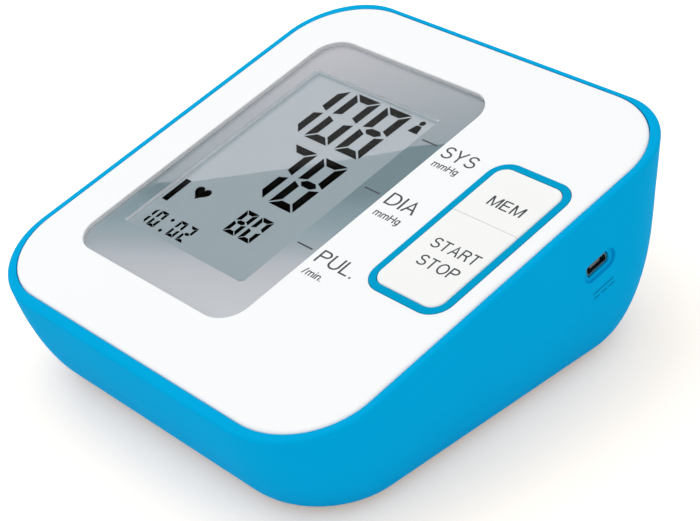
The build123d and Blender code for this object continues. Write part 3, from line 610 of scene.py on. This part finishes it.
def make_display():
    """The window with its rim, silver print and marks, and the display's glyphs."""
    clear_thick = LENS_THICK - PRINT_THICK - 2 * PRINT_GAP
    print_depth = LENS_DROP + clear_thick + PRINT_GAP
    opening = rounded_rectangle(WINDOW_CENTRE, WINDOW_SIZE, WINDOW_RADIUS)
    clear = top_sheet("window_clear", [lens_outline(-RIM_WIDTH - PRINT_GAP)], LENS_DROP,
                      clear_thick, clear_window(), "case", LENS_BEVEL)
    printed = top_sheet("window_print", [lens_outline(0), opening], print_depth, PRINT_THICK,
                        silver_print_and_painted_reflection(), "case")
    rim = top_sheet("window_rim", [lens_outline(RIM_REACH), lens_outline(-RIM_WIDTH)], LENS_DROP,
                    clear_thick, ink("rim_white", RIM_WHITE), "case")
    for piece in (clear, printed, rim):
        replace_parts(piece, "display_lens")
    left, right = TICK_SPAN
    ticks = [[(left, y - TICK_HALF), (right, y - TICK_HALF),
              (right, y + TICK_HALF), (left, y + TICK_HALF)] for y in TICK_PLACES]
    top_sheet("window_marks", ticks, print_depth - PRINT_GAP / 2, PRINT_GAP / 2,
              ink("mark_ink", INK), "case")
    top_sheet("display_glyphs", display_glyphs(), LCD_DEPTH - GLYPH_THICK, GLYPH_THICK,
              ink("glyph_ink", GLYPH, 0.05, specular=0.14), "case")


# ---- labels -------------------------------------------------------------------------------------

# Each row: a word, its left and right ends, its baseline, the height of a capital, and the width
# of a stroke as a share of that.
PANEL_LABELS = [
    ("SYS", 16.7, 28.6, 26.9, 4.6, 0.11),
    ("mmHg", 17.35, 26.45, 23.0, 2.3, 0.13),
    ("DIA", 16.7, 27.5, 5.5, 4.6, 0.11),
    ("mmHg", 17.35, 26.7, 0.8, 2.35, 0.13),
    ("PUL.", 16.7, 30.5, -20.15, 4.6, 0.11),
    ("/min.", 17.1, 24.2, -24.95, 2.3, 0.13),
]
KEY_LABELS = {
    "mem_key": [("MEM", 42.15, 53.7, 18.35, 3.55, 0.12)],
    "start_stop_key": [("START", 40.25, 55.9, -0.9, 3.6, 0.12),
                       ("STOP", 41.55, 54.85, -7.45, 3.7, 0.12)],
}
LETTER_GAP = 0.17            # as a share of a capital's height
STROKE_STEP = 0.002          # crossing strokes differ by this in thickness
SHARPEST = 0.45              # a sharper bend than this cosine gets a blunted corner
TOUCHING = 1e-6              # ends nearer than this are one place


def arc(x, y, wide, high, start, end, steps=14):
    """Points along part of an ellipse; the angles are in degrees."""
    points = []
    for step in range(steps + 1):
        angle = math.radians(start + (end - start) * step / steps)
        points.append((x + wide * math.cos(angle), y + high * math.sin(angle)))
    return points


# Each letter's strokes along their middles, where capitals are 1 high. One that ends where it
# starts is closed.
LETTERS = {
    "A": [[(0.03, 0), (0.34, 0.93), (0.65, 0)], [(0.15, 0.34), (0.53, 0.34)]],
    "D": [[(0.06, 0.055), (0.06, 0.945), (0.32, 0.945), *arc(0.32, 0.5, 0.34, 0.445, 80, -80),
           (0.32, 0.055), (0.06, 0.055)]],
    "E": [[(0.6, 0.055), (0.06, 0.055), (0.06, 0.945), (0.58, 0.945)],
          [(0.06, 0.51), (0.55, 0.51)]],
    "H": [[(0.06, 0), (0.06, 1)], [(0.62, 0), (0.62, 1)], [(0.06, 0.52), (0.62, 0.52)]],
    "I": [[(0.06, 0), (0.06, 1)]],
    "L": [[(0.06, 1), (0.06, 0.055), (0.52, 0.055)]],
    "M": [[(0.06, 0), (0.06, 1)], [(0.09, 0.97), (0.4, 0.06), (0.71, 0.97)],
          [(0.74, 0), (0.74, 1)]],
    "O": [arc(0.39, 0.5, 0.335, 0.45, 0, 360, 32)],
    "P": [[(0.06, 0), (0.06, 1)],
          [(0.06, 0.945), (0.36, 0.945), *arc(0.36, 0.725, 0.23, 0.22, 75, -75), (0.36, 0.505),
           (0.06, 0.505)]],
    "R": [[(0.06, 0), (0.06, 1)],
          [(0.06, 0.945), (0.38, 0.945), *arc(0.38, 0.73, 0.22, 0.215, 75, -75), (0.38, 0.515),
           (0.06, 0.515)],
          [(0.38, 0.5), (0.5, 0.43), (0.56, 0.22), (0.63, 0)]],
    "S": [[*arc(0.35, 0.7325, 0.25, 0.2125, 20, 255), *arc(0.35, 0.2875, 0.285, 0.2325, 75, -160)]],
    "T": [[(0, 0.945), (0.62, 0.945)], [(0.31, 0.945), (0.31, 0)]],
    "U": [[(0.06, 1), *arc(0.35, 0.345, 0.29, 0.29, 180, 360), (0.64, 1)]],
    "Y": [[(0.03, 1), (0.34, 0.44), (0.65, 1)], [(0.34, 0.46), (0.34, 0)]],
    "g": [arc(0.25, 0.37, 0.19, 0.31, 0, 360, 24),
          [(0.44, 0.73), *arc(0.25, -0.06, 0.19, 0.17, 0, -140)]],
    "i": [[(0.06, 0), (0.06, 0.73)], [(0.06, 0.88), (0.06, 1)]],
    "m": [[(0.06, 0), (0.06, 0.73)], [*arc(0.235, 0.5, 0.175, 0.175, 180, 0), (0.41, 0)],
          [*arc(0.585, 0.5, 0.175, 0.175, 180, 0), (0.76, 0)]],
    "n": [[(0.06, 0), (0.06, 0.73)], [*arc(0.245, 0.49, 0.185, 0.185, 180, 0), (0.43, 0)]],
    "/": [[(0.03, 0), (0.28, 1)]],
    ".": [[(0.06, 0), (0.06, 0.12)]],
}


def stroke_outlines(points, half):
    """The outline of a stroke of this half width, or its two outlines if it is closed."""
    closed = len(points) > 2 and math.dist(points[0], points[-1]) < TOUCHING
    places = [Vector(point) for point in (points[:-1] if closed else points)]
    sides = ([], [])
    for index, place in enumerate(places):
        normals = []
        for start, end in ((index - 1, index), (index, index + 1)):
            if closed or (start >= 0 and end < len(places)):
                way = (places[end % len(places)] - places[start]).normalized()
                normals.append(Vector((-way.y, way.x)))
        normal = sum(normals, Vector((0, 0))).normalized()
        reach = normal * half / max(SHARPEST, normal.dot(normals[0]))
        sides[0].append(place + reach)
        sides[1].append(place - reach)
    return list(sides) if closed else [sides[0] + sides[1][::-1]]


def joined(meshes, name):
    """Several meshes as one."""
    verts = []
    faces = []
    for mesh in meshes:
        first = len(verts)
        verts += [vertex.co.copy() for vertex in mesh.vertices]
        faces += [[first + index for index in polygon.vertices] for polygon in mesh.polygons]
        bpy.data.meshes.remove(mesh)
    result = bpy.data.meshes.new(name)
    result.from_pydata(verts, [], faces)
    return result


def label_mesh(text, left, right, baseline, capital, weight, thick):
    """A word between left and right, with capitals this high, lying on the XY plane."""
    meshes = []
    cursor = 0
    for letter in text:
        strokes = LETTERS[letter]
        for points in strokes:
            shifted = [(cursor + x, y) for x, y in points]
            outlines = [[(x * capital, y * capital) for x, y in outline]
                        for outline in stroke_outlines(shifted, weight / 2)]
            curve = sheet_curve(outlines, thick + len(meshes) * STROKE_STEP)
            meshes.append(as_mesh(curve, "stroke"))
        cursor += max(x for points in strokes for x, y in points) + LETTER_GAP
    mesh = joined(meshes, "label")
    reach = [vertex.co.x for vertex in mesh.vertices]
    start, end = min(reach), max(reach)
    squeeze = Matrix.Diagonal(((right - left) / (end - start), 1, 1, 1))
    back = Matrix.Translation((-start, 0, 0))
    mesh.transform(Matrix.Translation((left, baseline, 0)) @ squeeze @ back)
    return mesh


def make_labels():
    """The printed words on the panel and on the keys."""
    dark = ink("label_ink", INK)
    thick = 2 * LABEL_PROUD
    mesh = joined([label_mesh(*row, thick) for row in PANEL_LABELS], "panel_labels")
    mesh.transform(on_top(0))
    add_piece("panel_labels", mesh, dark, "case")
    for body, rows in KEY_LABELS.items():
        mesh = joined([label_mesh(*row, thick) for row in rows], f"{body}_label")
        mesh.transform(on_top(-KEY_PROUD))
        add_piece(f"{body}_label", mesh, dark, body)


# ---- mark beside the mains inlet ----------------------------------------------------------------

MARK_CENTRE = (33.7, 27.3)   # y and z
# Each stroke: its two ends along the slope and its height across it, from the centre.
MARK_STROKES = [(-3.9, 3.9, 0.75), (-3.9, -1.75, -0.85), (-1.1, 1.1, -0.85), (1.75, 3.9, -0.85)]
MARK_WIDTH = 0.55
MARK_STEPS = 6               # along each stroke, so that it follows the wall
OUTSIDE = 100.0              # x where the rays towards the wall start


def make_mark():
    """The sign for direct current, a line over three dashes, moulded in the right wall; drawn as a
    thin sheet just proud of the wall, in a darker blue that is painted shade.
    """
    shell = nodes["lower_shell"]
    inverse = shell.matrix_world.inverted()
    verts = []
    faces = []
    inward = inverse.to_3x3() @ Vector((-1, 0, 0))
    for start, end, height in MARK_STROKES:
        first = len(verts)
        for step in range(MARK_STEPS + 1):
            along = start + (end - start) * step / MARK_STEPS
            for across in (height - MARK_WIDTH / 2, height + MARK_WIDTH / 2):
                y = MARK_CENTRE[0] + along * math.cos(SLOPE) - across * math.sin(SLOPE)
                z = MARK_CENTRE[1] + along * math.sin(SLOPE) + across * math.cos(SLOPE)
                found, spot, _, _ = shell.ray_cast(inverse @ (Vector((OUTSIDE, y, z)) * MM), inward)
                if not found:
                    raise RuntimeError("the mark misses the wall")
                verts.append(shell.matrix_world @ spot + Vector((LABEL_PROUD * MM, 0, 0)))
        for step in range(MARK_STEPS):
            row = first + 2 * step
            faces.append((row, row + 2, row + 3, row + 1))
    mesh = bpy.data.meshes.new("current_mark")
    mesh.from_pydata(verts, [], faces)
    # Darker than the casing: painted shade of the moulded mark.
    blue = ink("mark_painted_shade", MARK_PAINTED_SHADE, 0.5, specular=0.01)
    add_piece("current_mark", mesh, blue, "case")


# ---- screws -------------------------------------------------------------------------------------

CASE_SCREWS = [(-30.0, -48.0), (30.0, -48.0), (-36.0, 51.0), (36.0, 51.0)]
SCREW_ROOM = 4.0             # round each screw's axis
SCREW_SIZES = {
    "Head Radius": 2.8,
    "Head Height": 2.0,
    "Recess Length": 3.6,
    "Recess Width": 0.75,
    "Recess Depth": 1.2,
    "Core Radius": 1.1,
    "Thread Radius": 0.35,
    "Length": 11.0,
    "Pitch": 1.1,
}
HEAD_SIDES = 48
CORE_SIDES = 24
THREAD_SIDES = 6
THREAD_STEPS = 20            # to a turn


class Tree:
    """A Geometry Nodes group with named sizes, which ends in one material."""

    def __init__(self, name, sizes):
        self.group = bpy.data.node_groups.new(name, "GeometryNodeTree")
        self.sizes = {size: value * MM for size, value in sizes.items()}
        sockets = self.group.interface
        sockets.new_socket("Geometry", in_out="INPUT", socket_type="NodeSocketGeometry")
        for size in sizes:
            sockets.new_socket(size, in_out="INPUT", socket_type="NodeSocketFloat")
        sockets.new_socket("Material", in_out="INPUT", socket_type="NodeSocketMaterial")
        sockets.new_socket("Geometry", in_out="OUTPUT", socket_type="NodeSocketGeometry")
        self.given = self.group.nodes.new("NodeGroupInput").outputs
        self.result = self.group.nodes.new("NodeGroupOutput").inputs["Geometry"]

    def node(self, kind, settings=None, **inputs):
        """The outputs of a new node with these settings, and these inputs set or linked."""
        return new_node(self.group, kind, settings or {}, inputs).outputs

    def maths(self, operation, *values):
        """One number from several."""
        return maths(self.group, operation, *values)

    def up(self, geometry, height):
        """Raised by height."""
        shift = self.node("ShaderNodeCombineXYZ", Z=height)["Vector"]
        return self.node("GeometryNodeTransform", Geometry=geometry, Translation=shift)["Geometry"]

    def end(self, geometry):
        """Make the instances real and give them the material."""
        real = self.node("GeometryNodeRealizeInstances", Geometry=geometry)["Geometry"]
        done = self.node("GeometryNodeSetMaterial", Geometry=real, Material=self.given["Material"])
        self.group.links.new(done["Geometry"], self.result)

    def mesh(self, points, material, name):
        """What the tree makes of these points, in metres, as a plain mesh."""
        mesh = bpy.data.meshes.new("points")
        mesh.from_pydata(points, [], [])
        source = bpy.data.objects.new("source", mesh)
        modifier = source.modifiers.new("tree", "NODES")
        modifier.node_group = self.group
        for item in self.group.interface.items_tree:
            if item.in_out == "INPUT" and item.name in self.sizes:
                modifier[item.identifier] = self.sizes[item.name]
            elif item.in_out == "INPUT" and item.name == "Material":
                modifier[item.identifier] = material
        bpy.context.scene.collection.objects.link(source)
        evaluated = source.evaluated_get(bpy.context.evaluated_depsgraph_get())
        result = bpy.data.meshes.new_from_object(evaluated)
        source.modifiers.remove(modifier)
        bpy.data.objects.remove(source)
        result.name = name
        return result


def screw_tree():
    """Upright self-tapping screws, head down: a head with a cross recess, a core and its thread."""
    tree = Tree("screw", SCREW_SIZES)
    given = tree.given
    head_height = given["Head Height"]
    core_radius = given["Core Radius"]
    thread_radius = given["Thread Radius"]
    length = given["Length"]
    head = tree.node("GeometryNodeMeshCylinder", Vertices=HEAD_SIDES, Radius=given["Head Radius"],
                     Depth=head_height)["Mesh"]
    bars = []
    for long_side, short_side in (("X", "Y"), ("Y", "X")):
        sides = {long_side: given["Recess Length"], short_side: given["Recess Width"],
                 "Z": tree.maths("MULTIPLY", given["Recess Depth"], 2.0)}
        size = tree.node("ShaderNodeCombineXYZ", **sides)["Vector"]
        bars.append(tree.node("GeometryNodeMeshCube", Size=size)["Mesh"])
    cut = tree.node("GeometryNodeMeshBoolean", {"operation": "DIFFERENCE"},
                    Mesh_1=tree.up(head, tree.maths("MULTIPLY", head_height, 0.5)),
                    Mesh_2=bars)["Mesh"]
    core = tree.node("GeometryNodeMeshCylinder", Vertices=CORE_SIDES, Radius=core_radius,
                     Depth=length)["Mesh"]
    core_middle = tree.maths("ADD", head_height, tree.maths("MULTIPLY", length, 0.5))
    reach = tree.maths("SUBTRACT", length, given["Pitch"])
    spiral = tree.node("GeometryNodeCurveSpiral", Resolution=THREAD_STEPS, Height=reach,
                       Start_Radius=core_radius, End_Radius=core_radius,
                       Rotations=tree.maths("DIVIDE", reach, given["Pitch"]))["Curve"]
    edge = tree.node("GeometryNodeCurvePrimitiveCircle", Resolution=THREAD_SIDES,
                     Radius=thread_radius)["Curve"]
    thread = tree.node("GeometryNodeCurveToMesh", Curve=spiral, Profile_Curve=edge)["Mesh"]
    thread_start = tree.maths("ADD", head_height, thread_radius)
    parts = [cut, tree.up(core, core_middle), tree.up(thread, thread_start)]
    screw = tree.node("GeometryNodeJoinGeometry", Geometry=parts)["Geometry"]
    tree.end(tree.node("GeometryNodeInstanceOnPoints", Points=given["Geometry"],
                       Instance=screw)["Instances"])
    return tree


def make_screws(steel):
    """The four screws that hold the casing together, where the CAD model has them."""
    node = nodes["case_screws"]
    places = [node.matrix_world @ vertex.co for vertex in node.data.vertices]
    points = []
    for x, y in CASE_SCREWS:
        low = min(place.z for place in places
                  if math.dist(place[:2], (x * MM, y * MM)) < SCREW_ROOM * MM)
        points.append((x * MM, y * MM, low))
    mesh = screw_tree().mesh(points, steel, "threaded_screws")
    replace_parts(add_piece("threaded_screws", mesh, steel, "case"), "case_screws")


# ---- floor and light ----------------------------------------------------------------------------

FLOOR_HALF = 6.0
FLOOR_WHITE = (0.93, 0.93, 0.93)
FLOOR_GLOW = 0.34
FLOOR_PAINTED_WARMTH = (1.0, 0.67, 0.32)  # painted warm glow near the casing, which makes up for the blue that the casing throws on the table
FLOOR_NEAR = (0.09, 0.2)     # from the middle, where that painted warm glow fades out
WORLD_FILL = 0.9             # what the white room gives to a matt face
LAMP_POWER = 3.0
LAMP_SIZE = 1.0
LAMP_PLACE = Vector((-0.5, -0.2, 1.2))
FLAG_DISTANCE = 2.5          # times the way from the camera to the window
# Where the dark card's outline is seen in the window.
FLAG_EDGE = [(-69.3, -37.0), (-51.7, -24.2), (-44.0, -18.6), (-13.7, 7.1), (6.0, 25.2),
             (14.7, 31.4), (40.7, 49.8), (80.0, 50.0), (80.0, -95.0), (-69.3, -95.0)]


def make_world():
    """A white room that lights the monitor evenly and shows white in the camera and in gloss."""
    world = bpy.data.worlds.new("studio")
    bpy.context.scene.world = world
    world.use_nodes = True
    tree = world.node_tree
    background = tree.nodes["Background"]
    background.inputs["Color"].default_value = (1, 1, 1, 1)
    path = tree.nodes.new("ShaderNodeLightPath").outputs
    seen = maths(tree, "ADD", path["Is Camera Ray"], path["Is Glossy Ray"])
    seen = maths(tree, "ADD", seen, path["Is Transmission Ray"])
    strength = new_node(tree, "ShaderNodeMapRange", {},
                        {"Value": seen, "To Min": WORLD_FILL, "To Max": 1.0})
    tree.links.new(strength.outputs["Result"], background.inputs["Strength"])


def stage_sheet(name, corners, material):
    """One flat face round these corners."""
    mesh = bpy.data.meshes.new(name)
    mesh.from_pydata(corners, [], [range(len(corners))])
    mesh.materials.append(material)
    sheet = bpy.data.objects.new(name, mesh)
    bpy.context.scene.collection.objects.link(sheet)
    return sheet


def make_floor():
    """A white table top that glows in the camera's view; near the middle the glow is painted warm
    light that offsets the blue the casing throws on it.
    """
    finish = Finish("table_white", FLOOR_WHITE, 0.9, specular=0.1)
    in_camera = finish.node("ShaderNodeLightPath")["Is Camera Ray"]
    finish.link(finish.span(in_camera, 0.0, FLOOR_GLOW), "Emission Strength")
    # Painted light: the glow turns warm near the casing and white farther out.
    away = finish.node("ShaderNodeVectorMath", {"operation": "LENGTH"}, Vector=finish.coordinates())
    far = finish.span(away["Value"], 0, 1, *FLOOR_NEAR)
    finish.link(finish.ramp(far, [(0, FLOOR_PAINTED_WARMTH), (1, (1, 1, 1))]), "Emission Color")
    corners = [(side_x * FLOOR_HALF, side_y * FLOOR_HALF, 0)
               for side_x, side_y in ((-1, -1), (1, -1), (1, 1), (-1, 1))]
    floor = stage_sheet("floor", corners, finish.material)


def make_flag():
    """A dark card up behind the monitor, mirrored in the window below the edge across it."""
    surface = PANEL @ Matrix.Translation((0, 0, -(LENS_DROP + LENS_THICK) * MM))
    normal = surface.col[2].to_3d()
    origin = surface.translation
    behind = EYE - 2 * (EYE - origin).dot(normal) * normal
    corners = []
    for x, y in FLAG_EDGE:
        seen = on_top(0) @ Vector((x, y, 0)) - EYE
        struck = EYE + seen * ((origin - EYE).dot(normal) / seen.dot(normal))
        corners.append(behind + (struck - behind) * FLAG_DISTANCE)
    black = Finish("flag_black", (0.0, 0.0, 0.0), 1.0, specular=0.0)
    flag = stage_sheet("flag", corners, black.material)
    flag.visible_camera = False
    flag.visible_diffuse = False
    flag.visible_shadow = False


def make_lamp():
    """A soft square lamp that faces the monitor."""
    light = bpy.data.lights.new("soft_key", "AREA")
    light.size = LAMP_SIZE
    light.energy = LAMP_POWER
    lamp = bpy.data.objects.new("soft_key", light)
    lamp.location = LAMP_PLACE
    lamp.rotation_euler = (-LAMP_PLACE).to_track_quat("-Z", "Y").to_euler()
    bpy.context.scene.collection.objects.link(lamp)


# ---- the whole ----------------------------------------------------------------------------------


def main():
    """Dress the model and set the scene."""
    bpy.context.scene.view_settings.view_transform = "Standard"
    make_camera()
    make_world()
    make_floor()
    make_flag()
    make_lamp()
    dress_nodes()
    make_display()
    make_labels()
    make_mark()
    make_screws(nodes["case_screws"].material_slots[0].material)


main()
